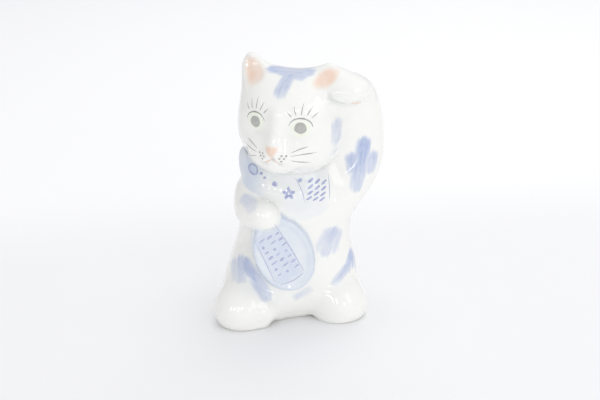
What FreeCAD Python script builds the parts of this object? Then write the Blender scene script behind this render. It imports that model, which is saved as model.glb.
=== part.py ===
"""A beckoning cat figurine in glazed porcelain, about 100 mm tall.

Each piece is cast or pressed on its own and luted to its neighbours with slip before the glaze
firing. So every piece is a separate solid that meets the next one face to face.

Frame: millimetres, +Z up, the cat's chest faces -Y, its right side is -X, the foot rim is at Z = 0.
"""
import FreeCAD, Part
import math
import os

V = FreeCAD.Vector

# ---- driving dimensions -------------------------------------------------------------------------
WALL = 3.2               # slip-cast wall of the hollow castings
VENT_HOLE = 7.0          # hole in the floor that lets the hollow castings drain and breathe
VENT_BEHIND = 7.0        # how far it lies behind the middle of the base
NECK_HEIGHT = 60.0       # where the torso casting ends, inside the head

# torso outline: height, centre x, centre y, half width, depth in front, depth behind
TORSO = [
    (0.0, -1.5, 2.0, 22.5, 12.0, 17.5),
    (3.0, -1.5, 2.0, 23.6, 13.4, 18.6),
    (9.0, -1.0, 1.0, 23.4, 14.6, 19.8),
    (20.0, 0.0, 0.0, 23.6, 16.4, 20.8),
    (32.0, 0.0, 0.0, 20.4, 16.2, 18.6),
    (43.0, 0.5, 0.0, 18.8, 15.0, 16.0),
    (52.0, 0.5, -0.5, 15.4, 12.6, 13.4),
    (NECK_HEIGHT, 0.0, -1.0, 11.5, 10.0, 10.5),
]

HEAD_CENTRE = V(-0.8, -4.0, 74.4)
HEAD_RADII = (19.4, 18.2, 18.8)
HEAD_FULLNESS = 2.35     # superellipse power; 2 is an egg, more is boxier
HEAD_TURN = 34.0         # the head looks towards the cat's right
HEAD_ROLL = -3.0         # and leans to its left
MUZZLE_CENTRE = V(0.0, -13.6, -7.8)   # from the head's own centre
MUZZLE_RADII = (11.0, 6.8, 7.8)

EAR_SPREAD = {-1: 11.4, 1: 10.2}   # from the middle of the head to its right and left ear
EAR_SPLAY = 5.2          # how much further out the tip is than the root
EAR_ROOT = 10.0          # height of the root above the head's centre
EAR_REACH = 13.6         # height of the tip above the root
EAR_SET = -1.0           # the ears stand a little forward of the crown
EAR_HALF_WIDTH = 7.9
EAR_HALF_DEPTH = 4.8
EAR_PROFILE = [          # share of the height, and share of the root's width there
    (0.0, 1.0), (0.30, 0.93), (0.58, 0.76), (0.80, 0.52), (0.93, 0.31), (1.0, 0.12),
]
EAR_HOLLOW_RADII = (4.4, 2.6, 5.7)
EAR_HOLLOW_FORWARD = 4.6
EAR_HOLLOW_LEAN = 18.0

# limbs: centre x, y, z and radius along each one
RAISED_FORELEG = [
    (14.5, -4.0, 45.0, 9.3),
    (19.8, -1.6, 53.0, 10.8),
    (23.4, -0.5, 62.0, 10.8),
    (23.6, -1.5, 72.0, 10.0),
    (21.4, -3.5, 81.4, 9.2),
    (17.2, -6.4, 86.8, 7.5),
]
RAISED_PAW_CENTRE = V(15.2, -14.8, 87.6)
RAISED_PAW_RADII = (9.2, 8.0, 5.2)
PAW_FULLNESS = 2.15
RAISED_PAW_TURN = 20.0   # the paw folds inwards over the ear
RAISED_PAW_DROOP = 6.0

COIN_FORELEG = [
    (-14.0, 0.5, 48.0, 7.0),
    (-16.4, -5.5, 44.6, 6.6),
    (-16.6, -11.5, 43.2, 6.0),
    (-15.4, -15.6, 43.8, 5.0),
]
COIN_PAW_CENTRE = V(-13.4, -18.2, 43.6)
COIN_PAW_RADII = (5.2, 4.4, 4.8)

COIN_FACE_CENTRE = V(-7.0, -19.8, 28.8)
COIN_HALF_LENGTH = 14.6
COIN_HALF_WIDTH = 10.4
COIN_DEPTH = 7.0         # the back of it is scribed to the belly
COIN_RIM = 1.3           # width of the raised rim
COIN_RIM_HEIGHT = 0.5
COIN_LEAN = 24.0         # its top leans to the cat's right
COIN_TILT = 5.0          # and slightly back

COLLAR_CENTRE = V(-0.8, -2.2, 57.0)
COLLAR_RADII = (19.4, 18.8, 6.6)
COLLAR_SLOPE = 26.0      # lower on the chest than at the nape
BIB_PROUD = 1.8          # thickness of the bib on the chest
BIB_CENTRE = V(-1.0, 0.0, 50.0)
BIB_HALF_WIDTH = 12.5
BIB_HALF_HEIGHT = 9.0

RIGHT_FOOT_CENTRE = V(-21.2, -11.2, 5.4)
LEFT_FOOT_CENTRE = V(15.6, -10.8, 4.8)
FOOT_RADII = (10.6, 10.4, 9.4)

TAIL = [
    (4.0, 15.0, 6.5, 4.6),
    (9.5, 18.6, 7.5, 4.6),
    (14.0, 17.4, 10.5, 4.2),
    (15.4, 15.4, 14.5, 3.6),
]


# ---- helpers ------------------------------------------------------------------------------------
def placed(shape, centre, turn=0.0, slope=0.0, roll=0.0):
    """Roll about Y, then slope about X, then turn about Z, then move to the centre."""
    rotation = (FreeCAD.Rotation(V(0, 0, 1), -turn)
                .multiply(FreeCAD.Rotation(V(1, 0, 0), slope))
                .multiply(FreeCAD.Rotation(V(0, 1, 0), -roll)))
    moved = shape.copy()
    moved.Placement = FreeCAD.Placement(centre, rotation).multiply(shape.Placement)
    return moved


def ellipsoid(radii):
    """An ellipsoid about the origin."""
    stretch = FreeCAD.Matrix()
    stretch.scale(V(*radii))
    return Part.makeSphere(1.0).transformGeometry(stretch)


def closed_curve(points):
    curve = Part.BSplineCurve()
    curve.interpolate(points, PeriodicFlag=True)
    return Part.Wire([curve.toShape()])


def lofted(wires):
    return Part.makeLoft(wires, True, False)


def oval_ring(centre, half_width, front, behind=None):
    """A horizontal oval, with its own depth in front and behind."""
    points = []
    steps = 16
    for step in range(steps):
        angle = 2 * math.pi * step / steps
        depth = behind if behind is not None and math.sin(angle) > 0 else front
        points.append(centre + V(half_width * math.cos(angle), depth * math.sin(angle), 0))
    return closed_curve(points)


def torso_section(level, grow=0.0):
    """One horizontal outline of the torso, grown outwards or shrunk inwards."""
    height, centre_x, centre_y, half_width, front, behind = level
    return oval_ring(V(centre_x, centre_y, height), half_width + grow, front + grow, behind + grow)


def torso_body(grow=0.0):
    """The torso's outer form, or the same form grown sideways."""
    return lofted([torso_section(level, grow) for level in TORSO])


def torso_cavity():
    """The inside of the casting: a wall thinner all round, a floor below, open above."""
    low = (WALL,) + TORSO[1][1:]
    high = (NECK_HEIGHT + 1.0,) + TORSO[-1][1:]
    middle = [level for level in TORSO[:-1] if level[0] > 2 * WALL]
    return lofted([torso_section(level, -WALL) for level in [low] + middle + [high]])


def limb(stations):
    """A rounded limb through stations of centre and radius, with domed ends."""
    centres = [V(*station[:3]) for station in stations]
    radii = [station[3] for station in stations]
    path = Part.BSplineCurve()
    path.interpolate(centres)
    dome = [(0.97, 0.24), (0.80, 0.60), (0.45, 0.89)]
    rings = []
    for index, centre in enumerate(centres):
        tangent = path.tangent(path.parameter(centre))[0]
        if index == 0:
            rings += [(centre - tangent * radii[0] * out, tangent, radii[0] * share) for out, share in dome]
        rings.append((centre, tangent, radii[index]))
        if index == len(centres) - 1:
            rings += [(centre + tangent * radii[-1] * out, tangent, radii[-1] * share)
                      for out, share in reversed(dome)]
    return lofted([Part.Wire([Part.Circle(centre, tangent, radius).toShape()])
                   for centre, tangent, radius in rings])


def largest(shape):
    return max(shape.Solids, key=lambda solid: solid.Volume)


def fitted(shape, *neighbours):
    """Cut the neighbours out of a piece, so that it meets them face to face."""
    for neighbour in neighbours:
        shape = shape.cut(neighbour)
    return largest(shape)


def above_floor(shape):
    floor = Part.makeBox(200, 200, 100, V(-100, -100, -100))
    return largest(shape.cut(floor))


# ---- pieces -------------------------------------------------------------------------------------
def make_torso(foreleg_cavity):
    """A hollow casting, open at the neck and into the raised foreleg, with a vent in its floor."""
    body = torso_body()
    vent = Part.makeCylinder(VENT_HOLE / 2, 3 * WALL, V(0, VENT_BEHIND, -WALL))
    return body, fitted(body, torso_cavity(), vent, foreleg_cavity)


def on_head(shape):
    return placed(shape, HEAD_CENTRE, turn=HEAD_TURN, roll=HEAD_ROLL)


def rounded_block(radii, power):
    """A superellipsoid about the origin, lofted through horizontal outlines."""
    rings = []
    for level in (-0.985, -0.90, -0.74, -0.52, -0.26, 0.0, 0.26, 0.52, 0.74, 0.90, 0.985):
        share = (1.0 - abs(level) ** power) ** (1.0 / power)
        points = []
        steps = 20
        for step in range(steps):
            angle = 2 * math.pi * step / steps
            side, front = math.cos(angle), math.sin(angle)
            reach = share / (abs(side) ** power + abs(front) ** power) ** (1.0 / power)
            points.append(V(radii[0] * side * reach, radii[1] * front * reach, radii[2] * level))
        rings.append(closed_curve(points))
    return lofted(rings)


def head_form():
    """The skull with its muzzle, facing -Y about the head's own centre."""
    muzzle = ellipsoid(MUZZLE_RADII)
    muzzle.translate(MUZZLE_CENTRE)
    return rounded_block(HEAD_RADII, HEAD_FULLNESS).fuse(muzzle)


def make_head(torso_form):
    """A hollow casting that the neck of the torso opens into."""
    outer = largest(on_head(head_form()))
    cavity = on_head(rounded_block([radius - WALL for radius in HEAD_RADII], HEAD_FULLNESS))
    return outer, fitted(outer.cut(cavity), torso_form)


def make_ear(side):
    """A pointed, forward-hollowed ear; side is -1 for the cat's right and 1 for its left."""
    rings = []
    for rise, share in EAR_PROFILE:
        middle = V(side * (EAR_SPREAD[side] + EAR_SPLAY * rise), EAR_SET, EAR_ROOT + EAR_REACH * rise)
        rings.append(oval_ring(middle, EAR_HALF_WIDTH * share, EAR_HALF_DEPTH * share))
    halfway = V(side * (EAR_SPREAD[side] + EAR_SPLAY / 2), EAR_SET - EAR_HOLLOW_FORWARD,
                EAR_ROOT + EAR_REACH / 2)
    hollow = placed(ellipsoid(EAR_HOLLOW_RADII), halfway, roll=-side * EAR_HOLLOW_LEAN)
    return on_head(largest(lofted(rings).cut(hollow)))


def make_coin():
    """An oval slab with a raised rim, scribed to the belly."""
    oval = ellipse_prism(COIN_HALF_WIDTH, COIN_HALF_LENGTH, COIN_DEPTH)
    panel = ellipse_prism(COIN_HALF_WIDTH - COIN_RIM, COIN_HALF_LENGTH - COIN_RIM, COIN_DEPTH)
    panel.translate(V(0, COIN_RIM_HEIGHT - COIN_DEPTH, 0))
    coin = oval.cut(panel)
    coin.translate(V(0, COIN_DEPTH, 0))
    return placed(coin, COIN_FACE_CENTRE, slope=-COIN_TILT, roll=COIN_LEAN)


def ellipse_prism(half_width, half_height, depth):
    """An upright oval standing from the XZ plane towards -Y."""
    stretch = FreeCAD.Matrix()
    stretch.scale(V(half_width, depth, half_height))
    return Part.makeCylinder(1.0, 1.0, V(0, 0, 0), V(0, -1, 0)).transformGeometry(stretch)


def make_neckerchief():
    """A folded kerchief round the neck, with its bib lying on the chest."""
    collar = placed(ellipsoid(COLLAR_RADII), COLLAR_CENTRE, slope=COLLAR_SLOPE)
    oval = ellipse_prism(BIB_HALF_WIDTH, BIB_HALF_HEIGHT, COLLAR_RADII[1] * 2)
    oval.translate(BIB_CENTRE)
    bib = torso_body(BIB_PROUD).common(oval)
    return collar.fuse(bib)


def make_foot(centre):
    foot = ellipsoid(FOOT_RADII)
    foot.translate(centre)
    return above_floor(foot)


def build():
    foreleg_cavity = limb([station[:3] + (station[3] - WALL,) for station in RAISED_FORELEG])
    torso_form, torso = make_torso(foreleg_cavity)
    head_outer, head = make_head(torso_form)
    foreleg_form = fitted(limb(RAISED_FORELEG), torso_form, head_outer)
    raised_foreleg = fitted(foreleg_form, foreleg_cavity)
    right_ear = fitted(make_ear(-1), head_outer)
    paw = placed(rounded_block(RAISED_PAW_RADII, PAW_FULLNESS), RAISED_PAW_CENTRE,
                 turn=RAISED_PAW_TURN, roll=RAISED_PAW_DROOP)
    raised_paw = fitted(paw, head_outer, foreleg_form)
    left_ear = fitted(make_ear(1), head_outer, foreleg_form, raised_paw)
    coin_foreleg = fitted(limb(COIN_FORELEG), torso_form)
    neckerchief = fitted(make_neckerchief(), torso_form, head_outer, foreleg_form, coin_foreleg)
    coin = fitted(make_coin(), torso_form, coin_foreleg, neckerchief)
    coin_paw = placed(rounded_block(COIN_PAW_RADII, PAW_FULLNESS), COIN_PAW_CENTRE)
    coin_paw = fitted(coin_paw, torso_form, coin_foreleg, coin, neckerchief)
    right_foot = fitted(make_foot(RIGHT_FOOT_CENTRE), torso_form, coin)
    left_foot = fitted(make_foot(LEFT_FOOT_CENTRE), torso_form, coin)
    tail = fitted(limb(TAIL), torso_form)
    return {
        "torso_casting": torso,
        "head_casting": head,
        "right_ear": right_ear,
        "left_ear": left_ear,
        "raised_foreleg": raised_foreleg,
        "raised_paw": raised_paw,
        "coin_foreleg": coin_foreleg,
        "coin_paw": coin_paw,
        "coin": coin,
        "neckerchief": neckerchief,
        "right_foot": right_foot,
        "left_foot": left_foot,
        "tail": tail,
    }


pieces = build()
os.makedirs("parts", exist_ok=True)
for name, piece in pieces.items():
    piece.exportStep("parts/" + name + ".step")
    box = piece.optimalBoundingBox(False, False)
    print("%-16s %9.1f mm3  valid %s  x %.1f..%.1f  y %.1f..%.1f  z %.1f..%.1f" % (
        name, piece.Volume, piece.isValid(), box.XMin, box.XMax, box.YMin, box.YMax, box.ZMin, box.ZMax))
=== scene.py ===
"""Looks of a hand-painted, glazed porcelain beckoning cat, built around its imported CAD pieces.

The castings are luted together and share one glaze, so their surfaces are first run together into
one skin, the joints are softened, the modelling is sharpened, and the skin is parted again into one
piece per casting. Shapes and painted marks are in millimetres until a mesh is written in metres.
Lights, camera and the sizes inside materials are in metres.
"""
import math
import bpy
import numpy as np
from mathutils import Matrix, Vector
from mathutils.bvhtree import BVHTree


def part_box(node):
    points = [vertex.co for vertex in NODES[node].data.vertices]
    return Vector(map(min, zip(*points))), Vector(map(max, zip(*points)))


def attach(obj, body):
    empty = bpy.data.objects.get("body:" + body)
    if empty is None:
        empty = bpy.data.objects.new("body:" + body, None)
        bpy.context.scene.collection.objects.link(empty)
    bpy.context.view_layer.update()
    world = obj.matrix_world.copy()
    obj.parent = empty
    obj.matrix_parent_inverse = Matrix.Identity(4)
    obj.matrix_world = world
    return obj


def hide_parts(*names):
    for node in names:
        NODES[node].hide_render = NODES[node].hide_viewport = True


MM = 0.001
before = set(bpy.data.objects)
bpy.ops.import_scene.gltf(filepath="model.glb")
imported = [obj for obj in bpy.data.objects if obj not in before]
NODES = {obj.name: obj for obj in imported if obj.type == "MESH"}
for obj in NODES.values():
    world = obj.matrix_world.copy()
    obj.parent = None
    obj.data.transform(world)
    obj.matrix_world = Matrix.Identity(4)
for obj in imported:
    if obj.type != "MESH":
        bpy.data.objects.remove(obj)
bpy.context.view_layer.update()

# ---- places, in millimetres ---------------------------------------------------------------------
HEAD_CENTRE = np.array((-0.8, -4.0, 74.4))
HEAD_TURN = -34.0
HEAD_ROLL = 3.0
FACE_MIDDLE = 1.3
COIN_CENTRE = np.array((-7.0, -19.8, 28.8))
COIN_TILT = -5.0
COIN_LEAN = -24.0
COIN_HALF = (10.4, 14.6)
VENT_CENTRE = (0.0, 7.0)
VENT_RADIUS = 3.5
FLOOR_WALL = 3.2
PLUG_MARGIN = 0.6
PLUG_BELOW = 1.2
PLUG_ABOVE = 0.4

SKIN_VOXEL = 0.45
FAR_AWAY = 1e3


def turning(axis, degrees):
    """The matrix of a turn about an axis."""
    return np.array(Matrix.Rotation(math.radians(degrees), 3, axis))


HEAD_AXES = turning("Z", HEAD_TURN) @ turning("Y", HEAD_ROLL)
COIN_AXES = turning("X", COIN_TILT) @ turning("Y", COIN_LEAN)


# ---- meshes as arrays ---------------------------------------------------------------------------
def mesh_arrays(mesh):
    """The points, in millimetres, and the polygons of a mesh."""
    points = np.empty(len(mesh.vertices) * 3)
    mesh.vertices.foreach_get("co", points)
    polygons = [tuple(polygon.vertices) for polygon in mesh.polygons]
    return points.reshape(-1, 3) / MM, polygons


def new_mesh(name, points, polygons, scale=1.0):
    mesh = bpy.data.meshes.new(name)
    mesh.from_pydata((np.asarray(points) * scale).tolist(), [], polygons)
    mesh.update()
    return mesh


def cylinder_mesh(centre, radius, low, high, steps=32):
    """A closed upright cylinder."""
    points, polygons = [], []
    for height in (low, high):
        for step in range(steps):
            angle = 2 * math.pi * step / steps
            points.append((centre[0] + radius * math.cos(angle),
                           centre[1] + radius * math.sin(angle), height))
    for step in range(steps):
        after = (step + 1) % steps
        polygons.append((step, after, steps + after, steps + step))
    polygons.append(tuple(reversed(range(steps))))
    polygons.append(tuple(range(steps, 2 * steps)))
    return points, polygons


def remeshed(points, polygons):
    """One closed mesh of quads round everything given, with what is inside it left out."""
    source = new_mesh("source", points, polygons)
    holder = bpy.data.objects.new("source", source)
    bpy.context.scene.collection.objects.link(holder)
    remesh = holder.modifiers.new("remesh", "REMESH")
    remesh.mode = "VOXEL"
    remesh.voxel_size = SKIN_VOXEL
    depsgraph = bpy.context.evaluated_depsgraph_get()
    mesh = bpy.data.meshes.new_from_object(holder.evaluated_get(depsgraph))
    bpy.data.objects.remove(holder)
    return mesh


def ramp(value, low, high):
    """0 below low, 1 above high, and smooth between."""
    share = np.clip((value - low) / (high - low), 0.0, 1.0)
    return share * share * (3 - 2 * share)


class Skin:
    """One closed surface over all the castings, as arrays."""

    def __init__(self):
        mesh = remeshed(*self.gather_castings())
        count = len(mesh.vertices)
        flat = np.empty(count * 3)
        mesh.vertices.foreach_get("co", flat)
        self.points = flat.reshape(-1, 3)
        loops = np.empty(len(mesh.loops), int)
        mesh.loops.foreach_get("vertex_index", loops)
        self.quads = loops.reshape(-1, 4)
        edges = np.empty(len(mesh.edges) * 2, int)
        mesh.edges.foreach_get("vertices", edges)
        self.edges = edges.reshape(-1, 2)
        bpy.data.meshes.remove(mesh)
        self.degree = np.bincount(self.edges.ravel(), minlength=count)
        self.measure_seams()

    def gather_castings(self):
        """The points and polygons of all the castings, and of a plug for the vent."""
        points, polygons, start = [], [], 0
        self.trees = {}
        for name, node in NODES.items():
            node_points, node_polygons = mesh_arrays(node.data)
            self.trees[name] = BVHTree.FromPolygons(node_points.tolist(), node_polygons)
            points.append(node_points)
            polygons += [tuple(corner + start for corner in polygon) for polygon in node_polygons]
            start += len(node_points)
        # the vent is stopped near its top, so that the cavity is left out of the skin
        plug, plug_polygons = cylinder_mesh(VENT_CENTRE, VENT_RADIUS + PLUG_MARGIN,
                                            FLOOR_WALL - PLUG_BELOW, FLOOR_WALL + PLUG_ABOVE)
        points.append(np.array(plug))
        polygons += [tuple(corner + start for corner in polygon) for polygon in plug_polygons]
        return np.concatenate(points), polygons

    def measure_seams(self):
        """The casting that each point belongs to, and the fillet that its nearest joint asks for."""
        self.names = list(self.trees)
        count = len(self.points)
        self.gaps = np.full((len(self.names), count), FAR_AWAY)
        for row, name in enumerate(self.names):
            reach = max([blend for pair, blend in BLENDS.items() if name in pair] + [BLEND])
            low, high = (np.array(corner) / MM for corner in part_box(name))
            inside = np.all((self.points > low - reach) & (self.points < high + reach), axis=1)
            find = self.trees[name].find_nearest
            for index in np.flatnonzero(inside):
                found = find(self.points[index], reach)[3]
                if found is not None:
                    self.gaps[row, index] = found
        self.owner = np.argmin(self.gaps, axis=0)
        self.fillet = np.zeros(count)
        for row, name in enumerate(self.names):
            mine = self.owner == row
            for other, other_name in enumerate(self.names):
                if other == row:
                    continue
                blend = BLENDS.get(frozenset((name, other_name)), BLEND)
                overlap = np.clip(blend - self.gaps[other, mine], 0, None)
                self.fillet[mine] = np.maximum(self.fillet[mine], overlap ** 2 / (4 * blend))

    def neighbour_mean(self, values):
        """The mean of each point's neighbours, for an array of one or more columns."""
        columns = values.reshape(len(self.points), -1)
        total = np.empty_like(columns)
        first, second = self.edges.T
        for column in range(columns.shape[1]):
            total[:, column] = (np.bincount(first, columns[second, column], len(columns))
                                + np.bincount(second, columns[first, column], len(columns)))
        return (total / self.degree[:, None]).reshape(values.shape)

    def spread(self, values, rounds):
        """The values after being averaged with their neighbours a number of times."""
        for _ in range(rounds):
            values = self.neighbour_mean(values)
        return values

    def owned_by(self, *names):
        """1 on the points of the named castings, 0 elsewhere."""
        return np.isin(self.owner, [self.names.index(name) for name in names]).astype(float)

    def smooth(self, weight, rounds):
        """Relaxes the points towards their neighbours, by weight."""
        weight = np.broadcast_to(weight, len(self.points))[:, None]
        for _ in range(rounds):
            self.points = self.points + weight * (self.neighbour_mean(self.points) - self.points)

    def fill_hollows(self, weight, rounds):
        """Relaxes the points by weight, but only outwards, so hollows fill and nothing shrinks."""
        for number in range(rounds):
            if number % 20 == 0:
                normals = self.normals()
            shift = self.neighbour_mean(self.points) - self.points
            outwards = np.einsum("ij,ij->i", shift, normals)
            along = shift - outwards[:, None] * normals
            outwards = np.maximum(outwards, 0.0)
            self.points = self.points + weight[:, None] * (0.3 * along + outwards[:, None] * normals)

    def normals(self):
        """The outward direction at each point."""
        corners = self.points[self.quads]
        faces = np.cross(corners[:, 2] - corners[:, 0], corners[:, 3] - corners[:, 1])
        total = np.zeros_like(self.points)
        for corner in range(4):
            for axis in range(3):
                total[:, axis] += np.bincount(self.quads[:, corner], faces[:, axis], len(self.points))
        return total / np.linalg.norm(total, axis=1, keepdims=True)

    def tree(self):
        """The finished surface, for finding and casting onto."""
        return BVHTree.FromPolygons(self.points.tolist(), self.quads.tolist())


# How far each luted joint is run together under the glaze; the others take BLEND.
BLEND = 3.0
BLENDS = {frozenset(pair): reach for *pair, reach in (
    ("right_foot", "torso_casting", 17.0), ("left_foot", "torso_casting", 15.0),
    ("right_ear", "head_casting", 9.0), ("left_ear", "head_casting", 13.0),
    ("left_ear", "raised_foreleg", 7.0), ("left_ear", "raised_paw", 1.2),
    ("raised_foreleg", "torso_casting", 14.0), ("raised_foreleg", "head_casting", 6.0),
    ("raised_foreleg", "neckerchief", 5.0), ("raised_foreleg", "raised_paw", 5.0),
    ("raised_paw", "head_casting", 1.2), ("neckerchief", "head_casting", 1.2),
    ("neckerchief", "torso_casting", 4.0), ("coin_foreleg", "torso_casting", 9.0),
    ("coin_foreleg", "neckerchief", 5.0), ("coin_foreleg", "coin_paw", 6.0),
    ("coin_paw", "torso_casting", 5.0), ("coin_paw", "neckerchief", 3.0),
    ("coin", "torso_casting", 2.5), ("coin", "coin_paw", 0.8), ("coin", "neckerchief", 0.8),
    ("coin", "coin_foreleg", 0.8), ("tail", "torso_casting", 3.5))}


def run_joints_together(skin):
    """Fills the joints with slip and wipes them smooth, as the potter's sponge does."""
    off_base = ramp(skin.points[:, 2], 0.2, 1.0)
    facing = skin.spread(skin.normals(), 12)
    facing /= np.linalg.norm(facing, axis=1, keepdims=True)
    below = 1 - ramp(-facing[:, 2], 0.35, 0.8)
    fill = skin.spread(skin.fillet * below, 8)
    skin.points += facing * (1.3 * fill)[:, None]
    skin.points[:, 2] = np.maximum(skin.points[:, 2], 0.0)
    weight = ramp(fill, 0.02, 0.5) * off_base
    skin.smooth(0.7 * weight, 150)
    low = (1 - ramp(skin.points[:, 2], 20.0, 26.0)) * (1 - ramp(skin.points[:, 1], -2.0, 4.0))
    skin.smooth(0.8 * low * off_base * ramp(fill, 0.4, 2.5), 260)
    second = np.sort(skin.gaps, axis=0)[1]
    skin.smooth((0.4 + 0.3 * (1 - ramp(second, 0.8, 2.5))) * off_base, 12)


# ---- modelling ----------------------------------------------------------------------------------
# The places of the face, ear linings, flap, paw fold and front of the base, and those of the painted
# patches and marks further on, were set against the photo. They aren't worked out from the frame.
def bump(across, up, centre, reach):
    """A soft round rise at a centre, with a reach across and up."""
    return np.exp(-((across - centre[0]) / reach[0]) ** 2 - ((up - centre[1]) / reach[1]) ** 2)


def ridge(across, up, start, end, reach):
    """A soft rise along a line."""
    run = np.array(end) - np.array(start)
    share = np.clip(((across - start[0]) * run[0] + (up - start[1]) * run[1]) / (run @ run), 0, 1)
    gap = np.hypot(across - start[0] - share * run[0], up - start[1] - share * run[1])
    return np.exp(-(gap / reach) ** 2)


def around(points, centre, reach):
    """A soft rise about a place in space."""
    return np.exp(-np.sum(((points - centre) / reach) ** 2, axis=1))


def model_face(skin):
    """Runs the muzzle into the face, and models sockets, bridge, nose, mouth and chin."""
    local = (skin.points - HEAD_CENTRE) @ HEAD_AXES
    across, up = local[:, 0] - FACE_MIDDLE, local[:, 2]
    on_head = skin.owner == skin.names.index("head_casting")
    front = ramp(-local[:, 1], 6.0, 11.0) * on_head
    muzzle = front * (1 - ramp(np.hypot(across / 17.0, (up + 6.0) / 10.5), 0.75, 1.0))
    skin.fill_hollows(0.9 * muzzle, 260)
    skin.smooth(0.5 * muzzle, 40)
    rise = 1.5 * ridge(across, up, (0, 6.5), (0, -5.0), 3.0)
    rise += 0.8 * bump(across, up, (0, -6.0), (2.4, 2.0))
    for side in (-1, 1):
        rise -= 1.1 * bump(across, up, (7.4 * side, 0.5), (4.4, 4.6))
        rise += 0.5 * bump(across, up, (8.0 * side, 2.8), (3.0, 2.6))
        rise += 0.5 * bump(across, up, (7.5 * side, 9.5), (4.0, 2.6))
        rise += 0.6 * bump(across, up, (10.5 * side, -6.0), (4.2, 4.0))
        rise += 0.5 * bump(across, up, (3.2 * side, -9.2), (2.4, 1.8))
        rise -= 0.5 * ridge(across, up, (0.2 * side, -8.8), (2.6 * side, -10.8), 0.7)
        rise -= 0.4 * ridge(across, up, (2.6 * side, -10.8), (4.6 * side, -10.9), 0.7)
    rise -= 0.5 * ridge(across, up, (0, -7.6), (0, -9.2), 0.6)
    rise += 0.6 * bump(across, up, (0, -13.2), (3.2, 2.0))
    skin.points += (rise * front)[:, None] * skin.normals()
    skin.smooth(0.5 * front, 3)
    jowl = around(skin.points, (-19.0, -7.5, 65.5), (4.5, 6.0, 4.5)) * skin.owned_by("head_casting")
    skin.points += skin.spread(jowl, 8)[:, None] * (0.9, 0.2, 0.6)


def inside_outline(across, up, corners, soft, rounding=0.7):
    """1 well inside a round-cornered convex outline, 0 outside; its corners run clockwise."""
    total = np.zeros(len(across))
    for start, end in zip(corners, corners[1:] + corners[:1]):
        run = np.array(end) - np.array(start)
        inwards = (run[1] * (across - start[0]) - run[0] * (up - start[1])) / np.hypot(*run)
        total += np.exp(-np.clip(inwards, -9, 9) / rounding)
    return ramp(-rounding * np.log(total), 0.0, soft)


# The hollow of each ear, as a clockwise outline seen square to the face.
EAR_LININGS = {
    "right_ear": ((-19.6, 23.2), (-14.2, 23.0), (-7.4, 17.6), (-7.6, 15.2),
                  (-13.2, 11.4), (-16.8, 12.8), (-19.4, 17.6)),
    "left_ear": ((8.6, 17.0), (9.6, 20.8), (13.6, 23.4), (18.8, 22.6),
                 (18.6, 18.0), (14.8, 14.6), (11.0, 14.8)),
}


def ear_lining(skin, name, soft):
    """The hollow inner face of an ear, which is also where it is painted pink."""
    local = (skin.points - HEAD_CENTRE) @ HEAD_AXES
    forwards = -(skin.normals() @ HEAD_AXES)[:, 1]
    low, high = (np.array(corner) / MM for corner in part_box(name))
    near = np.all((skin.points > low - (3, 7, 6)) & (skin.points < high + 3), axis=1)
    share = inside_outline(local[:, 0], local[:, 2], list(EAR_LININGS[name]), soft, 0.5)
    return share * near * ramp(forwards, 0.05, 0.35)


def model_ears(skin):
    """Hollows the ears, and sets the left one clear of the leg."""
    for name in EAR_LININGS:
        hollow = skin.spread(ear_lining(skin, name, 2.6), 4)
        skin.points += (1.1 * hollow)[:, None] * HEAD_AXES[:, 1]
        skin.smooth(0.5 * ramp(hollow, 0.0, 0.2), 4)
    # the left ear stands clear of the leg that is bent behind it
    tip = around(skin.points, (10.8, -12.0, 96.0), (3.4, 5.0, 3.0)) * (skin.points[:, 1] > -17.0)
    bend = around(skin.points, (19.5, -8.0, 93.5), (5.0, 8.0, 4.0))
    skin.points[:, 2] += skin.spread(1.3 * tip - 1.7 * bend, 6)


def model_scarf(skin):
    """Lets the roll of the neckerchief fall away into its bib, with its knot end standing up."""
    mine = skin.owned_by("neckerchief")
    inner = mine
    for _ in range(5):
        inner = np.minimum(inner, skin.neighbour_mean(inner))
    front = inner * ramp(-skin.points[:, 1], 2.0, 8.0)
    skin.smooth(0.8 * front, 160)
    flap = skin.spread(around(skin.points, (-19.2, -0.5, 62.2), (4.0, 5.0, 3.6)) * mine, 4)
    skin.points += flap[:, None] * (-0.9, -0.8, 3.8)
    skin.fill_hollows(0.9 * around(skin.points, (-18.5, -3.5, 64.0), (4.0, 6.0, 3.5)), 60)


# The fold under the raised paw, along the skin.
FOLD = ((7.8, -19.4, 88.6), (9.2, -20.3, 86.0), (11.8, -20.0, 84.4), (15.5, -18.0, 83.4),
        (20.0, -14.0, 82.8), (23.5, -12.4, 83.2))


def paw_fold(skin, reach):
    """1 in the fold under the raised paw, falling to 0 beside it and towards its ends."""
    fold = np.zeros(len(skin.points))
    near = np.flatnonzero(np.linalg.norm(skin.points - FOLD[3], axis=1) < 14)
    points = skin.points[near]
    for number in range(len(FOLD) - 1):
        start, end = np.array(FOLD[number]), np.array(FOLD[number + 1])
        run = end - start
        part = np.clip((points - start) @ run / (run @ run), 0, 1)
        gap = np.linalg.norm(points - start - part[:, None] * run, axis=1)
        share = (number + part) / (len(FOLD) - 1)
        depth = np.exp(-(gap / reach) ** 2) * ramp(share, 0.0, 0.2) * (1 - ramp(share, 0.75, 1.0))
        fold[near] = np.maximum(fold[near], depth)
    return fold


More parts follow.
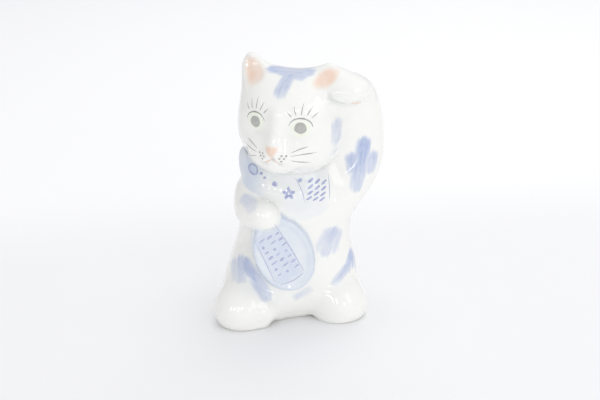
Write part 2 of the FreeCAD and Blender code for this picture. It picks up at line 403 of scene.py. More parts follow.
def model_paw(skin):
    """Rounds the raised paw into its leg, and keeps the fold beneath it."""
    paw, leg = skin.names.index("raised_paw"), skin.names.index("raised_foreleg")
    seam = np.exp(-(np.maximum(skin.gaps[paw], skin.gaps[leg]) / 3.5) ** 2)
    facing = skin.spread(skin.normals(), 8)
    seam = skin.spread(seam * (1 - ramp(-facing[:, 2], 0.25, 0.6)), 6)
    top = seam * ramp(skin.points[:, 2], 86.0, 89.0)
    skin.points += (1.5 * top)[:, None] * facing
    skin.fill_hollows(0.9 * ramp(seam, 0.0, 0.5), 200)
    skin.smooth(0.8 * ramp(seam, 0.0, 0.6), 90)
    mine = skin.spread(skin.owned_by("raised_paw"), 3)
    skin.smooth(0.7 * ramp(mine, 0.5, 1.0), 60)
    mine = skin.spread(mine, 30)
    skin.points += mine[:, None] * (0.5 * facing + (0.9, -0.2, 0.0))
    skin.points[:, 2] += 1.0 * mine * (1 - ramp(skin.points[:, 2], 83.0, 87.0))
    skin.smooth(0.7 * around(skin.points, (11.0, -19.0, 82.0), (5.0, 4.0, 2.6)), 30)
    skin.smooth(0.6 * around(skin.points, (15.0, -13.5, 94.0), (5.0, 4.5, 3.0)), 20)
    fold = paw_fold(skin, 0.9)
    skin.points -= (0.9 * fold)[:, None] * facing
    skin.smooth(0.5 * ramp(fold, 0.0, 0.3), 4)


def model_base(skin):
    """Draws the front of the base between the feet into one smooth hollow curve."""
    across = skin.points[:, 0] + 0.5
    behind = skin.points[:, 1] + 12.8 + 0.05 * across ** 2
    wall = (skin.points[:, 2] < 2.5) & (np.abs(across) < 18) & (skin.points[:, 1] < 0)
    stations = np.arange(-16.0, 17.0)
    edge = np.array([behind[wall & (np.abs(across - station) < 0.8)].min() for station in stations])
    shift = np.interp(across, stations, np.clip(edge, 0.0, 6.0))
    reach = (1 - ramp(skin.points[:, 2], 4.0, 14.0)) * (1 - ramp(np.abs(across), 12.0, 15.5))
    reach *= 1 - ramp(behind - shift, 3.0, 12.0)
    skin.points[:, 1] -= shift * reach
    height = skin.points[:, 2].copy()
    near = (1 - ramp(height, 10.0, 16.0)) * (1 - ramp(np.abs(across), 13.0, 18.0))
    near *= skin.points[:, 1] < -2
    skin.smooth(0.7 * near, 70)
    flat = height < 0.4
    skin.points[flat, 2] = height[flat]
    # the foot of the wall runs out to the floor
    facing = skin.spread(skin.normals(), 6)
    toe = (1 - ramp(skin.points[:, 2], 0.0, 3.0)) * (1 - ramp(np.abs(across), 14.0, 19.0))
    toe *= ramp(-skin.points[:, 1], 4.0, 9.0)
    skin.points[:, :2] += (1.2 * toe)[:, None] * facing[:, :2]


# ---- brushed washes -----------------------------------------------------------------------------
PATCH_REACH = 18
# Each patch of blue: the castings it is on, and its strokes as start, end, width and strength.
PATCHES = {
    "crown": (("head_casting", "right_ear", "left_ear"), (
        ((-7.2, -3.4, 94.0), (3.4, -11.8, 93.8), 5.8, 0.95),
        ((-4.6, -2.0, 94.5), (4.4, -8.6, 94.5), 4.6, 0.85),
        ((-5.4, -6.4, 93.6), (0.4, -13.2, 92.8), 4.6, 0.85),
        ((-3.4, -11.2, 92.8), (-7.4, -16.0, 88.4), 5.2, 0.85))),
    "cheek": (("head_casting", "raised_foreleg"), (
        ((12.6, -18.0, 75.6), (12.5, -18.0, 72.0), 7.2, 0.6),)),
    "raised_leg": (("raised_foreleg",), (
        ((24.3, -11.2, 66.6), (21.4, -12.6, 51.4), 5.6, 1.0),
        ((20.0, -11.8, 61.0), (20.2, -12.2, 57.8), 5.4, 0.8),
        ((27.6, -10.0, 60.8), (27.0, -10.3, 57.4), 5.8, 0.76))),
    "forearm": (("coin_foreleg", "coin_paw", "torso_casting"), (
        ((-19.4, -11.5, 48.4), (-17.8, -17.0, 47.0), 5.2, 0.5),)),
    "belly": (("torso_casting",), (
        ((10.2, -15.1, 34.2), (7.4, -15.8, 29.4), 4.8, 0.55),
        ((12.4, -14.4, 34.2), (9.6, -15.4, 27.8), 5.4, 0.72),
        ((14.4, -13.1, 32.8), (12.8, -13.9, 28.2), 4.8, 0.62))),
    "left_hip": (("torso_casting", "left_foot"), (
        ((20.4, -7.8, 23.0), (18.0, -11.5, 19.0), 4.2, 1.0),
        ((20.8, -7.6, 22.2), (20.8, -9.2, 18.8), 3.2, 0.9),
        ((19.4, -10.0, 20.6), (13.0, -15.6, 15.4), 3.4, 0.85),
        ((21.6, -6.6, 22.4), (22.6, -7.4, 15.6), 1.6, 0.95))),
    "between_feet": (("torso_casting", "left_foot", "right_foot"), (
        ((-1.6, -15.7, 10.4), (2.8, -16.4, 13.0), 3.0, 0.42),)),
    "right_hip": (("torso_casting", "right_foot"), (
        ((-22.6, -5.0, 21.0), (-23.0, -9.0, 17.2), 4.8, 0.5),
        ((-21.0, -8.0, 22.8), (-21.2, -11.0, 18.0), 5.4, 0.7),
        ((-19.4, -10.5, 23.0), (-15.8, -14.2, 17.4), 5.2, 0.9),
        ((-16.2, -13.8, 18.2), (-13.6, -16.2, 12.2), 5.6, 0.8))),
    # on the back and tail, which are guesses
    "back": (("torso_casting",), (
        ((-7.0, 18.0, 38.0), (-9.0, 19.0, 29.0), 6.0, 0.8),
        ((-11.5, 16.0, 35.0), (-12.5, 17.0, 28.5), 5.0, 0.65))),
    "rump": (("torso_casting",), (
        ((17.0, 11.0, 30.0), (18.5, 11.5, 22.0), 5.4, 0.75),)),
    "tail": (("tail",), (
        ((15.4, 17.0, 18.0), (13.5, 20.0, 12.0), 8.0, 0.85),)),
    "nape": (("head_casting",), (
        ((-4.0, 13.0, 80.0), (-5.5, 13.5, 72.5), 6.0, 0.8),
        ((0.5, 13.5, 78.0), (-0.5, 14.0, 72.0), 5.0, 0.65))),
}


def wobble(points, scale, seed):
    """A smooth wandering value between about -1 and 1."""
    turns = (seed * 1.3 + 0.4, seed * 2.1 + 1.7, seed * 0.7 + 2.9)
    x, y, z = (points / scale).T
    return (np.sin(x + 1.7 * np.sin(0.9 * y + turns[0])) + np.sin(1.1 * y + 1.5 * np.sin(z + turns[1]))
            + np.sin(0.9 * z + 1.6 * np.sin(1.1 * x + turns[2]))) / 3


def nearest_on(tree, point):
    """The place on the skin nearest to a point."""
    return np.array(tree.find_nearest(point)[0])


def along_stroke(tree, points, start, end, steps=9):
    """How far points lie from a stroke laid on the skin, and their share of the way along it."""
    start, end = np.array(start), np.array(end)
    path = np.array([nearest_on(tree, start + (end - start) * step / (steps - 1))
                     for step in range(steps)])
    gap = np.full(len(points), FAR_AWAY)
    share = np.zeros(len(points))
    for number in range(steps - 1):
        run = path[number + 1] - path[number]
        part = np.clip((points - path[number]) @ run / (run @ run), 0, 1)
        away = np.linalg.norm(points - path[number] - part[:, None] * run, axis=1)
        closer = away < gap
        gap[closer] = away[closer]
        share[closer] = ((number + part) / (steps - 1))[closer]
    return gap, share


def brush_patches(skin, tree):
    """The strength of blue at each point, and its place across and along the brush marks."""
    count = len(skin.points)
    normals = skin.normals()
    blue = np.zeros(count)
    brush = np.zeros((count, 3))
    for seed, (castings, strokes) in enumerate(PATCHES.values()):
        allowed = np.isin(skin.owner, [skin.names.index(name) for name in castings])
        for number, (start, end, width, strength) in enumerate(strokes):
            centre = (np.array(start) + np.array(end)) / 2
            near = np.flatnonzero(allowed & (np.linalg.norm(skin.points - centre, axis=1) < PATCH_REACH))
            points = skin.points[near]
            lead = np.array(end) - np.array(start)
            lead /= np.linalg.norm(lead)
            side = np.cross(np.mean(normals[near], axis=0), lead)
            side /= np.linalg.norm(side)
            hairs = points @ side
            gap, share = along_stroke(tree, points, start, end)
            ragged = 0.2 * np.sin(2.9 * hairs + seed) + 0.1 * np.sin(6.1 * hairs + 2.0 * number)
            ragged *= ramp(np.abs(share - 0.5), 0.35, 0.5)
            edge = width / 2 * (1 + 0.10 * wobble(points, 1.3, seed + number)) - gap + ragged
            fade = 1 - 0.3 * share + 0.12 * wobble(points, 2.4, number)
            paint = strength * fade * ramp(edge, -0.8, 1.5)
            paint += 0.10 * strength * ramp(edge, -0.2, 0.3) * (1 - ramp(edge, 0.4, 1.1))
            stronger = paint > blue[near]
            blue[near] = np.maximum(blue[near], paint)
            apart = np.full(len(near), 3.7 * seed + 1.9 * number)
            marks = np.stack((hairs, points @ lead, apart), axis=1)
            brush[near[stronger]] = marks[stronger]
    return np.clip(blue, 0, 1), brush


NOSE_CORNERS = [(-4.2, -3.4), (3.8, -3.4), (0.2, -9.4)]
IRISES = (((-8.3, 3.2), (3.4, 3.3)), ((8.5, 2.6), (3.3, 3.2)))  # middle and half size
SCARF_RING = (-16.0, 58.3)
SCARF_RING_HALF = (1.3, 1.5)


def blush_tint(skin, across, up, face):
    """Pink in the ears and coral on the nose."""
    blush = np.maximum(ear_lining(skin, "right_ear", 2.6), ear_lining(skin, "left_ear", 2.2))
    blush *= skin.owned_by("head_casting", "right_ear", "left_ear", "raised_paw")
    blush *= 0.8 + 0.25 * wobble(skin.points, 1.6, 3)
    nose = inside_outline(across, up, NOSE_CORNERS, 1.0) * face
    return np.clip(np.maximum(blush, 1.15 * nose), 0, 1)


def iris_tint(across, up, face):
    """The pale yellow of the eyes."""
    iris = np.zeros(len(face))
    for middle, half in IRISES:
        rim = np.hypot((across - middle[0]) / half[0], (up - middle[1]) / half[1])
        iris = np.maximum(iris, (1 - ramp(rim, 0.8, 1.2)) * face)
    return iris


def coin_wash_and_bevel_shade(skin):
    """A wash that is deeper at the rim and on the marked panel, with painted shade in a band inside the
    rim on the coin's right side.
    """
    coin = (skin.points - COIN_CENTRE) @ COIN_AXES
    rim = np.hypot(coin[:, 0] / COIN_HALF[0], coin[:, 2] / COIN_HALF[1])
    panel = ramp(coin[:, 0], -7.6, -6.8) * (1 - ramp(coin[:, 0] + 0.1 * coin[:, 2], 3.0, 3.6))
    panel *= 1 - ramp(np.abs(coin[:, 2] - 0.5), 9.0, 11.0)
    # painted shade: a darker band along the right side of the rim, standing in for a shaded bevel that
    # is not modelled
    right_bevel_shade = np.exp(-((rim - 0.83) / 0.04) ** 2) * ramp(coin[:, 0], 0.0, 5.0)
    return skin.owned_by("coin") * (0.42 + 0.32 * ramp(rim, 0.88, 1.0) + 0.26 * panel + 0.2 * right_bevel_shade
                                    + 0.10 * wobble(skin.points, 2.0, 5))


def scarf_wash(skin):
    """A thin uneven wash, deeper on the cat's right and about the ring painted there."""
    aside = ramp(-skin.points[:, 0], 11.0, 17.0)
    slack = 0.16 + 0.14 * wobble(skin.points, 3.5, 8) + 0.42 * aside
    slack *= 1 - ramp(skin.points[:, 0], 9.0, 12.0) * ramp(-skin.points[:, 1], 0.0, 6.0)
    slack += 0.4 * bump(skin.points[:, 0], skin.points[:, 2], SCARF_RING, SCARF_RING_HALF)
    return skin.owned_by("neckerchief") * np.clip(slack, 0, 1)


def glaze_pools_and_shade(skin, normals):
    """Where the glaze gathers in hollows, with painted shade in the creases and a painted shadow in the
    fold under the paw.
    """
    curve = skin.neighbour_mean(skin.points) - skin.points
    hollow = skin.spread(np.einsum("ij,ij->i", curve, normals), 5)
    # the fold under the paw is also painted grey, as its shadow
    return np.maximum(ramp(hollow, 0.003, 0.024), 0.9 * paw_fold(skin, 1.3))


def paint_attributes(skin, tree):
    """Every painted or fired-in tint, as one value for each point of the skin, and the brush marks."""
    normals = skin.normals()
    local = (skin.points - HEAD_CENTRE) @ HEAD_AXES
    across, up = local[:, 0] - FACE_MIDDLE, local[:, 2]
    face = ramp(-local[:, 1], 6.0, 9.0) * skin.owned_by("head_casting")
    blue, brush = brush_patches(skin, tree)
    tints = {
        "blue": blue,
        "blush": blush_tint(skin, across, up, face),
        "iris": iris_tint(across, up, face),
        "wash": skin.spread(np.maximum(coin_wash_and_bevel_shade(skin), scarf_wash(skin)), 2),
        # partly glaze gathered in hollows, partly painted shade in creases and a painted shadow under
        # the paw
        "pooled_glaze_and_shade": glaze_pools_and_shade(skin, normals),
        "base": ramp(-normals[:, 2], 0.6, 0.9) * (1 - ramp(skin.points[:, 2], 0.5, 0.9)),
    }
    return tints, brush


# ---- materials ----------------------------------------------------------------------------------
WHITE = (0.94, 0.94, 0.915, 1)
CREAM = (0.90, 0.905, 0.87, 1)
# grey of glaze gathered in hollows, also laid as painted shade in creases and as painted shadow under
# the paw
POOLED_GLAZE_AND_SHADE = (0.78, 0.80, 0.77, 1)
IRIS_YELLOW = (0.90, 0.92, 0.82, 1)
BLUSH = (0.90, 0.69, 0.57, 1)
BLUE_WASH = (0.56, 0.64, 0.80, 1)
BRUSHED_BLUE = (0.41, 0.49, 0.72, 1)
BARE_CLAY = (0.84, 0.82, 0.77, 1)
COAT_WEIGHT = 0.5
COAT_ROUGHNESS = 0.03


class Recipe:
    """A material, and short ways to add to its nodes."""

    def __init__(self, name):
        self.material = bpy.data.materials.new(name)
        self.material.use_nodes = True
        self.nodes = self.material.node_tree.nodes
        self.links = self.material.node_tree.links
        self.shader = self.nodes["Principled BSDF"]

    def place(self):
        return self.nodes.new("ShaderNodeTexCoord").outputs["Object"]

    def attribute(self, name, output="Fac"):
        node = self.nodes.new("ShaderNodeAttribute")
        node.attribute_name = name
        return node.outputs[output]

    def noise(self, vector, scale, detail):
        node = self.nodes.new("ShaderNodeTexNoise")
        node.inputs["Scale"].default_value = scale
        node.inputs["Detail"].default_value = detail
        self.links.new(vector, node.inputs["Vector"])
        return node.outputs["Fac"]

    def carried(self, value, source=(0.0, 1.0), target=(0.0, 1.0), interpolation="LINEAR"):
        """The value carried from one range to another."""
        node = self.nodes.new("ShaderNodeMapRange")
        node.interpolation_type = interpolation
        node.inputs["From Min"].default_value, node.inputs["From Max"].default_value = source
        node.inputs["To Min"].default_value, node.inputs["To Max"].default_value = target
        self.links.new(value, node.inputs["Value"])
        return node.outputs["Result"]

    def product(self, first, second):
        node = self.nodes.new("ShaderNodeMath")
        node.operation = "MULTIPLY"
        node.use_clamp = True
        self.links.new(first, node.inputs[0])
        self.links.new(second, node.inputs[1])
        return node.outputs[0]

    def layer(self, under, colour, amount):
        """A colour laid over another colour or over an earlier layer."""
        node = self.nodes.new("ShaderNodeMix")
        node.data_type = "RGBA"
        if isinstance(under, tuple):
            node.inputs["A"].default_value = under
        else:
            self.links.new(under, node.inputs["A"])
        node.inputs["B"].default_value = colour
        self.links.new(amount, node.inputs["Factor"])
        return node.outputs["Result"]

    def colour(self, body):
        self.links.new(body, self.shader.inputs["Base Color"])

    def clear_coat(self):
        self.shader.inputs["Coat Weight"].default_value = COAT_WEIGHT
        self.shader.inputs["Coat Roughness"].default_value = COAT_ROUGHNESS


def glaze_material():
    """White porcelain under a clear glaze, with the blue, pink and yellow painted beneath it."""
    glaze = Recipe("painted_porcelain_glaze")
    place = glaze.place()
    cloud = glaze.carried(glaze.noise(place, 420.0, 4.0), target=(0.75, 1.25))
    marks = glaze.nodes.new("ShaderNodeMapping")
    marks.inputs["Scale"].default_value = (1.5, 0.13, 1.0)
    glaze.links.new(glaze.attribute("brush", "Vector"), marks.inputs["Vector"])
    streaks = glaze.carried(glaze.noise(marks.outputs["Vector"], 1.0, 3.0), (0.3, 0.7), (0.74, 1.12))
    blue = glaze.product(glaze.product(glaze.attribute("blue"), streaks), cloud)
    body = glaze.layer(WHITE, CREAM, glaze.noise(place, 60.0, 3.0))
    # painted shade: grey in hollows and creases, partly the glaze gathering there, and a painted shadow
    # under the raised paw
    body = glaze.layer(body, POOLED_GLAZE_AND_SHADE, glaze.attribute("pooled_glaze_and_shade"))
    for tint, colour in (("iris", IRIS_YELLOW), ("blush", BLUSH), ("wash", BLUE_WASH)):
        body = glaze.layer(body, colour, glaze.product(glaze.attribute(tint), cloud))
    body = glaze.layer(body, BRUSHED_BLUE, blue)
    glaze.colour(glaze.layer(body, BARE_CLAY, glaze.attribute("base")))
    matt = glaze.carried(glaze.attribute("base"), target=(0.07, 0.7))
    glaze.links.new(matt, glaze.shader.inputs["Roughness"])
    ripple = glaze.nodes.new("ShaderNodeBump")
    ripple.inputs["Distance"].default_value = 0.00012
    ripple.inputs["Strength"].default_value = 0.25
    glaze.links.new(glaze.noise(place, 180.0, 1.0), ripple.inputs["Height"])
    glaze.links.new(ripple.outputs["Normal"], glaze.shader.inputs["Normal"])
    glaze.clear_coat()
    return glaze.material


def line_material(name, colour, thin_colour):
    """Underglaze colour laid by a fine brush, thinner where the brush ran dry."""
    line = Recipe(name)
    load = line.carried(line.noise(line.place(), 900.0, 3.0), source=(0.35, 0.65))
    line.colour(line.layer(colour, thin_colour, load))
    line.shader.inputs["Roughness"].default_value = 0.12
    line.clear_coat()
    return line.material


def part_skin(skin, tree, material):
    """One piece for each casting, which stands for its CAD node."""
    normals = skin.normals()
    tints, brush = paint_attributes(skin, tree)
    owners = skin.owner[skin.quads]
    face_owner = np.sort(owners, axis=1)[:, 1]
    for number, name in enumerate(skin.names):
        quads = skin.quads[face_owner == number]
        used, corners = np.unique(quads, return_inverse=True)
        mesh = new_mesh(name + "_glazed", skin.points[used], corners.reshape(-1, 4).tolist(), MM)
        mesh.shade_smooth()
        mesh.normals_split_custom_set_from_vertices(normals[used].tolist())
        for tint, values in tints.items():
            layer = mesh.attributes.new(tint, "FLOAT", "POINT")
            layer.data.foreach_set("value", values[used])
        layer = mesh.attributes.new("brush", "FLOAT_VECTOR", "POINT")
        layer.data.foreach_set("vector", brush[used].ravel())
        mesh.materials.append(material)
        piece = bpy.data.objects.new(name + "_glazed", mesh)
        bpy.context.scene.collection.objects.link(piece)
        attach(piece, "root")
        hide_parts(name)


# ---- painted lines ------------------------------------------------------------------------------
LIFT = 0.05
STROKE_STEP = 0.22
SPOT_STEPS = 36
SPOT_RINGS = 7


def taper(share, thin_start, thin_end, belly):
    """How much of its full width a stroke has, at a share of the way along it."""
    if share < belly:
        return thin_start + (1 - thin_start) * math.sin(math.pi / 2 * share / belly)
    return thin_end + (1 - thin_end) * math.sin(math.pi / 2 * (1 - share) / (1 - belly))


class Brush:
    """Paints thin films of colour that lie on the skin, in the painter's view of one side of it."""

    def __init__(self, tree, centre, axes):
        self.tree, self.centre, self.axes = tree, centre, axes
        self.points, self.polygons = [], []

    def lay(self, place, lift):
        """The point of the skin straight behind a place (across, up), lifted off it."""
        start = self.centre + self.axes @ np.array((place[0], -60.0, place[1]))
        hit, normal, _, _ = self.tree.ray_cast(start, self.axes[:, 1])
        if hit is None:
            return None
        return np.array(hit) + np.array(normal) * lift

    def stroke(self, path, width, thin_start=0.25, thin_end=0.15, belly=0.5):
        """A tapered stroke through places (across, up)."""
        path = smooth_path(path, STROKE_STEP)
        length = len(path)
        if length < 3:
            return
        rows = []
        for number, place in enumerate(path):
            share = number / (length - 1)
            before, after = path[max(number - 1, 0)], path[min(number + 1, length - 1)]
            run = after - before
            side = np.array((-run[1], run[0])) / np.hypot(*run)
            half = width / 2 * taper(share, thin_start, thin_end, belly)
            row = [self.lay(place + side * half * part, LIFT * (1 - 0.8 * abs(part)))
                   for part in (-1, -0.5, 0, 0.5, 1)]
            if any(point is None for point in row):
                return
            rows.append(row)
        start = len(self.points)
        for row in rows:
            self.points += row
        for number in range(len(rows) - 1):
            for column in range(4):
                corner = start + 5 * number + column
                self.polygons.append((corner, corner + 5, corner + 6, corner + 1))

    def spot(self, centre, half, turn=0.0, uneven=0.05):
        """A filled oval spot."""
        middle = self.lay(centre, LIFT)
        if middle is None:
            return
        start = len(self.points)
        self.points.append(middle)
        cos, sin = math.cos(math.radians(turn)), math.sin(math.radians(turn))
        for ring in range(1, SPOT_RINGS + 1):
            share = ring / SPOT_RINGS
            for step in range(SPOT_STEPS):
                angle = 2 * math.pi * step / SPOT_STEPS
                wander = 1 + uneven * (math.sin(3 * angle + centre[0]) + math.sin(5 * angle + centre[1]))
                x = half[0] * share * wander * math.cos(angle)
                z = half[1] * share * wander * math.sin(angle)
                place = (centre[0] + x * cos - z * sin, centre[1] + x * sin + z * cos)
                self.points.append(self.lay(place, LIFT * (1 - 0.8 * share ** 6)))
        for step in range(SPOT_STEPS):
            after = (step + 1) % SPOT_STEPS
            self.polygons.append((start, start + 1 + step, start + 1 + after))
            for ring in range(SPOT_RINGS - 1):
                inner = start + 1 + ring * SPOT_STEPS
                outer = inner + SPOT_STEPS
                self.polygons.append((inner + step, outer + step, outer + after, inner + after))

    def finish(self, name, material):
        """Makes one piece of everything painted so far."""
        mesh = new_mesh(name, self.points, self.polygons, MM)
        mesh.shade_smooth()
        outwards = np.zeros(3)
        for polygon in mesh.polygons:
            outwards += np.array(polygon.normal)
        if outwards @ self.axes[:, 1] > 0:
            mesh.flip_normals()
        mesh.materials.append(material)
        piece = bpy.data.objects.new(name, mesh)
        bpy.context.scene.collection.objects.link(piece)
        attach(piece, "root")


def smooth_path(path, step):
    """Evenly spaced places along a smooth line through the given ones."""
    path = [np.array(place, float) for place in path]
    ends = [2 * path[0] - path[1]] + path + [2 * path[-1] - path[-2]]
    places = []
    for before, start, end, after in zip(ends, ends[1:], ends[2:], ends[3:]):
        count = max(2, int(np.linalg.norm(end - start) / step))
        for number in range(count):
            t = number / count
            places.append(0.5 * (2 * start + (end - before) * t
                                 + (2 * before - 5 * start + 4 * end - after) * t * t
                                 + (3 * start - before - 3 * end + after) * t ** 3))
    places.append(path[-1])
    return places


# Places on the face are (across, up) from the middle of the head, seen square to the face. The
# two halves mirror each other about FACE_MIDDLE, with side 1 on the cat's left.
EYE_SPREAD = 8.4
EYE_HEIGHT = 3.0
PUPIL_HALF = (2.0, 2.1)
LID_HALF = (3.9, 3.5)
WHISKER_ROOT = 6.3
WHISKER_ROWS = ((-5.8, 2.3, 5.0), (-7.0, 1.2, 7.5), (-8.5, -1.4, 5.2))  # root height, rise, length


def face_place(side, spread, up):
    """A place on one half of the face, by how far it is from the middle line."""
    return FACE_MIDDLE + side * spread, up


def around_eye(side, degrees, reach):
    """A place on the lid's ellipse about an eye, reach times as far out."""
    angle = math.radians(degrees)
    return face_place(side, EYE_SPREAD + reach * LID_HALF[0] * math.cos(angle),
                      EYE_HEIGHT + reach * LID_HALF[1] * math.sin(angle))


def lid(side):
    """The upper part of the lid's ellipse."""
    return [around_eye(side, degrees, 1.0) for degrees in range(10, 171, 20)]


def lashes(side):
    """A fan of five, longest in the middle."""
    return [(around_eye(side, degrees, 1.35),
             around_eye(side, degrees, 2.5 - 0.013 * abs(degrees - 90)))
            for degrees in range(52, 129, 19)]


def whiskers(side):
    """Three, each running a little flatter towards its end."""
    return [[face_place(side, WHISKER_ROOT + share * length, height + rise * share ** 0.8)
             for share in (0.0, 0.5, 1.0)] for height, rise, length in WHISKER_ROWS]


def whisker_dots(side):
    """Two, two and one, staggered."""
    return [face_place(side, 3.5 + 1.4 * column - 0.6 * (row % 2), -6.9 - row)
            for row in range(3) for column in range(2 - row // 2)]


def half_mouth(side):
    """From the nose down and out to one side."""
    return [face_place(side, spread, -7.6 - 3.0 * (spread / 3.6) ** 0.5)
            for spread in (0.0, 0.2, 0.9, 2.2, 3.6)]


def paint_face(tree, ink, soft_ink, coral):
    """The lids, lashes, whiskers, pupils and mouth."""
    lines = Brush(tree, HEAD_CENTRE, HEAD_AXES)
    spots = Brush(tree, HEAD_CENTRE, HEAD_AXES)
    mouth = Brush(tree, HEAD_CENTRE, HEAD_AXES)
    for side in (-1, 1):
        lines.stroke(lid(side), 0.55, belly=0.5)
        for path in lashes(side):
            lines.stroke(path, 0.30, thin_start=0.7, belly=0.3)
        for path in whiskers(side):
            lines.stroke(path, 0.36, thin_start=0.3, belly=0.6)
        spots.spot(face_place(side, EYE_SPREAD, EYE_HEIGHT), PUPIL_HALF, 0, 0.02)
        for centre in whisker_dots(side):
            spots.spot(centre, (0.38, 0.40), 0, 0.08)
        mouth.stroke(half_mouth(side), 0.6, belly=0.4)
    lines.finish("lid_lash_and_whisker_lines", soft_ink)
    spots.finish("pupils_and_whisker_dots", ink)
    mouth.finish("mouth_line", coral)


# Places on the paw and the neckerchief are (across, up) from the middle of the base, seen from the
# front.
FRONT_VIEW = (np.zeros(3), np.eye(3))
PAW_TOUCH = ((17.5, 83.0), (20.0, 82.5), (22.5, 82.5))


def paint_paw(tree, coral):
    """The touch of coral in the fold under the raised paw."""
    touch = Brush(tree, *FRONT_VIEW)
    touch.stroke(PAW_TOUCH, 0.8, thin_start=0.2, thin_end=0.1, belly=0.5)
    touch.finish("paw_fold_touch", coral)


BAND_TOP = 56.5
FLOWER = (-4.8, 51.4)
PETALS = 5
PETAL_REACH = 1.3
# middle, half size, turn and unevenness
SCARF_SPOTS = (((-0.4, 55.6), (0.95, 0.6), 20, 0.08), ((-9.4, 54.5), (0.9, 0.85), 0, 0.06),
               ((-13.6, 57.4), (0.6, 0.45), 30, 0.08), ((-12.6, 56.2), (0.5, 0.4), 30, 0.08))


def band_edges():
    """The two thin lines beside the dashes, the first one bowed."""
    drops = (0.0, 3.0, 6.0, 9.0)
    return [[(-2.0 + 0.55 * drop - 0.025 * drop ** 2, BAND_TOP - drop) for drop in drops],
            [(10.6, BAND_TOP - drop) for drop in drops]]


def scarf_dashes():
    """Slanting dashes in four rows of three."""
    for row in range(4):
        for column in range(3):
            across = 4.6 + 2.5 * column - 0.3 * row
            up = BAND_TOP - 0.6 - 0.6 * column - 2.0 * row
            yield (across, up), (across - 2.1, up - 1.2)


def on_ellipse(centre, half, degrees):
    """A place on an upright ellipse."""
    angle = math.radians(degrees)
    return centre[0] + half[0] * math.cos(angle), centre[1] + half[1] * math.sin(angle)


def paint_scarf(tree, cobalt_line):
    """The dashes between their lines, a flower, spots and a ring."""
    marks = Brush(tree, *FRONT_VIEW)
    for path in scarf_dashes():
        marks.stroke(path, 0.95, thin_start=0.5, thin_end=0.4, belly=0.5)
    for path in band_edges():
        marks.stroke(path, 0.3, belly=0.5)
    for petal in range(PETALS):
        turn = 90 + 360 / PETALS * petal
        marks.spot(on_ellipse(FLOWER, (PETAL_REACH, PETAL_REACH), turn), (1.0, 0.62), turn, 0.08)
    for centre, half, turn, uneven in SCARF_SPOTS:
        marks.spot(centre, half, turn, uneven)
    ring = [on_ellipse(SCARF_RING, SCARF_RING_HALF, degrees) for degrees in range(20, 381, 30)]
    marks.stroke(ring, 0.7, thin_start=0.6, thin_end=0.5)
    marks.finish("neckerchief_brushwork", cobalt_line)


# Places on the coin are (across, up) from its middle, seen square to it. The marks aren't writing.
PANEL_LINES = (((-7.2, 10.0), (-7.1, 0.0), (-7.3, -7.4)),
               ((1.8, 12.8), (3.2, 2.0), (4.0, -9.0)),
               ((-6.0, -9.6), (-1.0, -10.4), (3.4, -9.6)))
DASH_WIDTHS = (0.6, 1.1, 0.8, 1.2)


def coin_dashes():
    """Start, end and width of short dashes in seven rows of three, which aren't writing."""
    for number in range(21):
        row, column = divmod(number, 3)
        start = (-6.2 + 3.3 * column + 0.15 * row, 8.2 - 2.4 * row)
        length = 2.6 - 0.5 * (number % 4)
        yield start, (start[0] + length, start[1] + 0.2 * length), DASH_WIDTHS[number % 4]


def paint_coin(tree, cobalt_line):
    """The three lines of the panel and the dashes between them."""
    marks = Brush(tree, COIN_CENTRE, COIN_AXES)
    for path in PANEL_LINES:
        marks.stroke(path, 0.34, thin_start=0.4, thin_end=0.4, belly=0.6)
    for start, end, width in coin_dashes():
        marks.stroke((start, end), width, thin_start=0.45, thin_end=0.3, belly=0.6)
    marks.finish("coin_brushwork", cobalt_line)


# ---- stage --------------------------------------------------------------------------------------
FLOOR_HALF = 3000
# painted light: the floor's colour is darker in front of the figure and paler behind it
FLOOR_NEAR_SHADED = (0.90, 0.90, 0.91, 1)
FLOOR_FAR_LIT = (0.97, 0.97, 0.985, 1)
FIGURE_MIDDLE = np.array((0.0, -0.01, 0.05))
GLINT_DISTANCE = 0.7


def make_stage():
    """A plain pale floor, painted paler behind the figure, as if more light fell there."""
    corners = [(-FLOOR_HALF, -FLOOR_HALF, 0), (FLOOR_HALF, -FLOOR_HALF, 0),
               (FLOOR_HALF, FLOOR_HALF, 0), (-FLOOR_HALF, FLOOR_HALF, 0)]
    floor = bpy.data.objects.new("floor", new_mesh("floor", corners, [(0, 1, 2, 3)], MM))
    paper = Recipe("pale_floor")
    paper.shader.inputs["Roughness"].default_value = 0.8
    parts = paper.nodes.new("ShaderNodeSeparateXYZ")
    paper.links.new(paper.place(), parts.inputs[0])
    # painted light: the floor grows paler behind the figure
    painted_light_sweep = paper.carried(parts.outputs["Y"], source=(0.05, 0.16), interpolation="SMOOTHSTEP")
    paper.colour(paper.layer(FLOOR_NEAR_SHADED, FLOOR_FAR_LIT, painted_light_sweep))
    floor.data.materials.append(paper.material)
    bpy.context.scene.collection.objects.link(floor)


def area_light(name, place, target, size, power):
    """A rectangular light that faces its target and is out of the camera's sight."""
    data = bpy.data.lights.new(name, "AREA")
    data.shape = "RECTANGLE"
    data.size, data.size_y = size
    data.energy = power
    light = bpy.data.objects.new(name, data)
    light.location = place
    light.visible_camera = False
    light.rotation_euler = (Vector(target) - Vector(place)).to_track_quat("-Z", "Y").to_euler()
    bpy.context.scene.collection.objects.link(light)
    return light


def direction(azimuth, elevation):
    """A unit direction; azimuth 0 is in front of the chest."""
    turn, lift = math.radians(azimuth), math.radians(elevation)
    return np.array((math.sin(turn) * math.cos(lift), -math.cos(turn) * math.cos(lift), math.sin(lift)))


def glint_light(name, azimuth, elevation, size, power):
    """A light that only shows in the glaze."""
    place = FIGURE_MIDDLE + GLINT_DISTANCE * direction(azimuth, elevation)
    area_light(name, place, FIGURE_MIDDLE, size, power).visible_diffuse = False


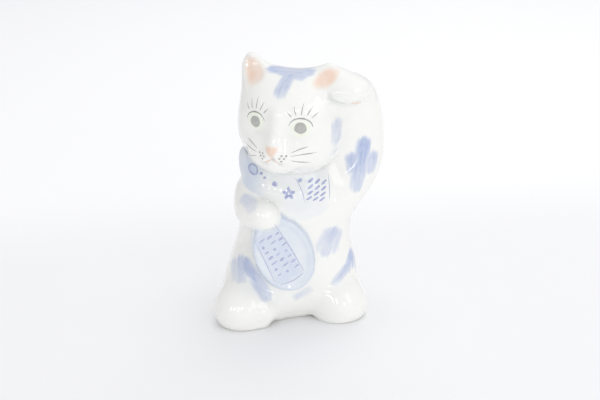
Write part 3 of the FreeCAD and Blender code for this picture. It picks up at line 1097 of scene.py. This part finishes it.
def soft_light(name, place, target, size, power):
    """A light that doesn't show in the glaze."""
    area_light(name, place, target, size, power).visible_glossy = False


def make_world():
    world = bpy.data.worlds.new("studio")
    bpy.context.scene.world = world
    world.use_nodes = True
    background = world.node_tree.nodes["Background"]
    background.inputs["Color"].default_value = (0.985, 0.99, 1.0, 1)
    background.inputs["Strength"].default_value = 0.7
    bpy.context.scene.view_settings.view_transform = "Standard"


def make_light():
    """The panes of two tall windows and a narrow lamp for the glints, and panels for the light."""
    for number in range(5):
        glint_light("left_pane_%d" % number, -14 - 11 * number, 20, (0.02, 0.2), 0.13)
    for number, side in enumerate((30, 42)):
        glint_light("right_pane_%d" % number, side, 27, (0.11, 0.42), 0.19)
    glint_light("narrow_lamp", 12, 11, (0.026, 0.2), 0.12)
    soft_light("panel_above", (0.15, 0.05, 0.9), FIGURE_MIDDLE, (0.7, 0.7), 2.2)
    soft_light("panel_front", (0.15, -0.95, 0.22), FIGURE_MIDDLE, (0.9, 0.4), 2.4)
    soft_light("panel_behind", (0.35, 0.75, 0.75), (0.1, 0.35, 0.0), (0.9, 0.5), 1.6)


CAMERA_AZIMUTH = -11.0
CAMERA_ELEVATION = 19.0
CAMERA_DISTANCE = 0.452
CAMERA_TARGET = Vector((0.0, -0.014, 0.0475))
CAMERA_LENS = 75.0


def make_camera():
    """Looks at the figure from the photo's side and height."""
    back = Vector(direction(CAMERA_AZIMUTH, CAMERA_ELEVATION))
    data = bpy.data.cameras.new("camera")
    data.lens = CAMERA_LENS
    data.clip_start = 0.01
    camera = bpy.data.objects.new("camera", data)
    camera.location = CAMERA_TARGET + back * CAMERA_DISTANCE
    camera.rotation_mode = "QUATERNION"
    camera.rotation_quaternion = (-back).to_track_quat("-Z", "Y")
    bpy.context.scene.collection.objects.link(camera)
    bpy.context.scene.camera = camera


skin = Skin()
run_joints_together(skin)
model_face(skin)
model_ears(skin)
model_scarf(skin)
model_paw(skin)
model_base(skin)
skin_tree = skin.tree()
part_skin(skin, skin_tree, glaze_material())
ink = line_material("ink_spots", (0.42, 0.42, 0.40, 1), (0.49, 0.49, 0.47, 1))
soft_ink = line_material("ink_lines", (0.28, 0.28, 0.26, 1), (0.46, 0.46, 0.44, 1))
coral = line_material("coral_line", (0.88, 0.63, 0.54, 1), (0.91, 0.76, 0.69, 1))
cobalt_line = line_material("cobalt_lines", (0.33, 0.36, 0.58, 1), (0.50, 0.54, 0.74, 1))
pale_cobalt_line = line_material("pale_cobalt_lines", (0.40, 0.41, 0.61, 1), (0.56, 0.58, 0.77, 1))
paint_face(skin_tree, ink, soft_ink, coral)
paint_paw(skin_tree, coral)
paint_scarf(skin_tree, cobalt_line)
paint_coin(skin_tree, pale_cobalt_line)
make_stage()
make_world()
make_light()
make_camera()
